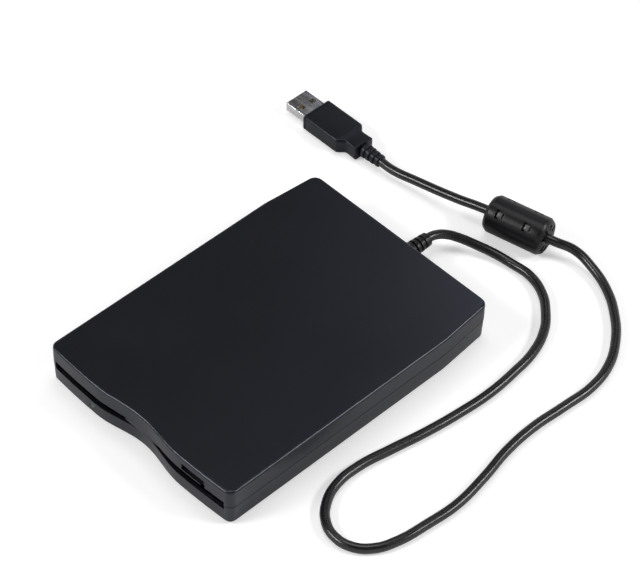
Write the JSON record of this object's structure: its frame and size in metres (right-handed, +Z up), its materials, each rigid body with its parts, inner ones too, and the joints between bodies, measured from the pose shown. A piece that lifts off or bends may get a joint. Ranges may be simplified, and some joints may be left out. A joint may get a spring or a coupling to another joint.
{
  "type": "external floppy disk drive",
  "caption": "Slim external 3.5 inch floppy disk drive with a wavy front, sprung slot door, eject button, fixed cord with a ferrite, and a USB-A plug",
  "frame": {"origin": "under the middle of the case, on the surface its feet stand on", "axes": "front with the slot faces -Y, +Z is up, +X is the right side seen from the front; the disk goes in along +Y"},
  "size_m": [0.2023, 0.2006, 0.0188],
  "materials": {
    "case_black": "fine texture",
    "door_black": "satin",
    "button_black": "satin",
    "lens_green": "clear",
    "diode_clear": "clear",
    "foot_rubber": "matte",
    "screw_steel": "zinc plated",
    "spring_steel": "drawn wire",
    "frame_steel": "zinc plated sheet",
    "slide_steel": "bright sheet",
    "rotor_steel": "turned",
    "magnet_grey": "bonded magnet",
    "winding_copper": "enamelled wire",
    "bearing_brass": "sintered",
    "motor_steel": "plated can",
    "rod_chrome": "ground",
    "carriage_black": "moulded",
    "head_ceramic": "polished",
    "flex_amber": "film",
    "board_green": "solder mask",
    "chip_black": "moulded",
    "plunger_cream": "moulded",
    "wire_red": "insulation",
    "relief_black": "satin",
    "cord_black": "glossy jacket",
    "ferrite_case": "satin",
    "ferrite_grey": "sintered",
    "plug_black": "satin",
    "plug_steel": "nickel plated",
    "tongue_white": "moulded",
    "contact_gold": "gold plated"
  },
  "bodies": {
    "case": {"top_cover": "case_black", "bottom_cover": "case_black", "rubber_feet": "foot_rubber", "case_screws": "screw_steel", "status_lens": "lens_green", "status_light": "diode_clear", "door_spring": "spring_steel", "slide_springs": "spring_steel", "drive_frame": "frame_steel", "frame_lid": "frame_steel", "spindle_board": "board_green", "stator": "winding_copper", "spindle_bearing": "bearing_brass", "stepper_motor": "motor_steel", "guide_rod": "rod_chrome", "head_flex": "flex_amber", "controller_board": "board_green", "board_chips": "chip_black", "switch_bodies": "chip_black", "interface_board": "board_green", "interface_parts": "chip_black", "cord_wires": "wire_red", "strain_relief": "relief_black", "usb_cord": "cord_black", "ferrite_upper": "ferrite_case", "ferrite_lower": "ferrite_case", "ferrite_core": "ferrite_grey", "plug_body": "plug_black", "plug_shell": "plug_steel", "plug_tongue": "tongue_white", "plug_contacts": "contact_gold"},
    "door": {"slot_door": "door_black"},
    "slide": {"slide_plate": "slide_steel", "eject_button": "button_black"},
    "holder": {"disk_holder": "slide_steel", "lever_post": "screw_steel"},
    "lever": {"shutter_lever": "slide_steel"},
    "rotor": {"spindle_rotor": "rotor_steel", "magnet_ring": "magnet_grey"},
    "screw": {"lead_screw": "rod_chrome"},
    "carriage": {"head_carriage": "carriage_black", "lower_head": "head_ceramic"},
    "arm": {"head_arm": "carriage_black", "upper_head": "head_ceramic"},
    "protect_switch": {"protect_plunger": "plunger_cream"},
    "density_switch": {"density_plunger": "plunger_cream"},
    "disk_switch": {"disk_plunger": "plunger_cream"}
  },
  "joints": [
    {"name": "door_hinge", "type": "hinge", "parent": "case", "child": "door", "pos_m": [0, -0.0659, 0.0139], "axis": [1, 0, 0], "range_deg": [0, 90], "stiffness_Nm_per_rad": 0.0006, "springref_deg": -28.65, "deforming": ["door_spring"]},
    {"name": "eject_slide", "type": "slide", "parent": "case", "child": "slide", "axis": [0, -1, 0], "range_m": [0, 0.0045], "deforming": ["slide_springs"]},
    {"name": "holder_drop", "type": "slide", "parent": "case", "child": "holder", "axis": [0, 0, -1], "range_m": [0, 0.0024]},
    {"name": "shutter_swing", "type": "hinge", "parent": "holder", "child": "lever", "pos_m": [-0.033, 0.01182, 0.013], "axis": [0, 0, 1], "range_deg": [0, 45], "stiffness_Nm_per_rad": 0.0005, "springref_deg": -17.19},
    {"name": "spindle_spin", "type": "hinge", "parent": "case", "child": "rotor", "pos_m": [0, -0.0165, 0.005], "axis": [0, 0, 1], "continuous": true},
    {"name": "lead_screw_spin", "type": "hinge", "parent": "case", "child": "screw", "pos_m": [-0.03, 0.04, 0.009], "axis": [0, 1, 0], "range_deg": [0, 1776.1]},
    {"name": "head_travel", "type": "slide", "parent": "case", "child": "carriage", "axis": [0, -1, 0], "range_m": [0, 0.0148]},
    {"name": "arm_hinge", "type": "hinge", "parent": "carriage", "child": "arm", "pos_m": [0, 0.05, 0.0129], "axis": [1, 0, 0], "range_deg": [0, 8.95]},
    {"name": "protect_press", "type": "slide", "parent": "case", "child": "protect_switch", "axis": [0, 0, -1], "range_m": [0, 0.0006], "stiffness_N_per_m": 60, "springref_m": -0.0004},
    {"name": "density_press", "type": "slide", "parent": "case", "child": "density_switch", "axis": [0, 0, -1], "range_m": [0, 0.0006], "stiffness_N_per_m": 60, "springref_m": -0.0004},
    {"name": "disk_press", "type": "slide", "parent": "case", "child": "disk_switch", "axis": [0, 0, -1], "range_m": [0, 0.0006], "stiffness_N_per_m": 60, "springref_m": -0.0004}
  ],
  "couplings": [
    {"joint": "holder_drop", "follows": "eject_slide", "ratio": 0.53333},
    {"joint": "arm_hinge", "follows": "eject_slide", "rad_per_m": 34.709},
    {"joint": "lead_screw_spin", "follows": "head_travel", "rad_per_m": 2094.4}
  ]
}
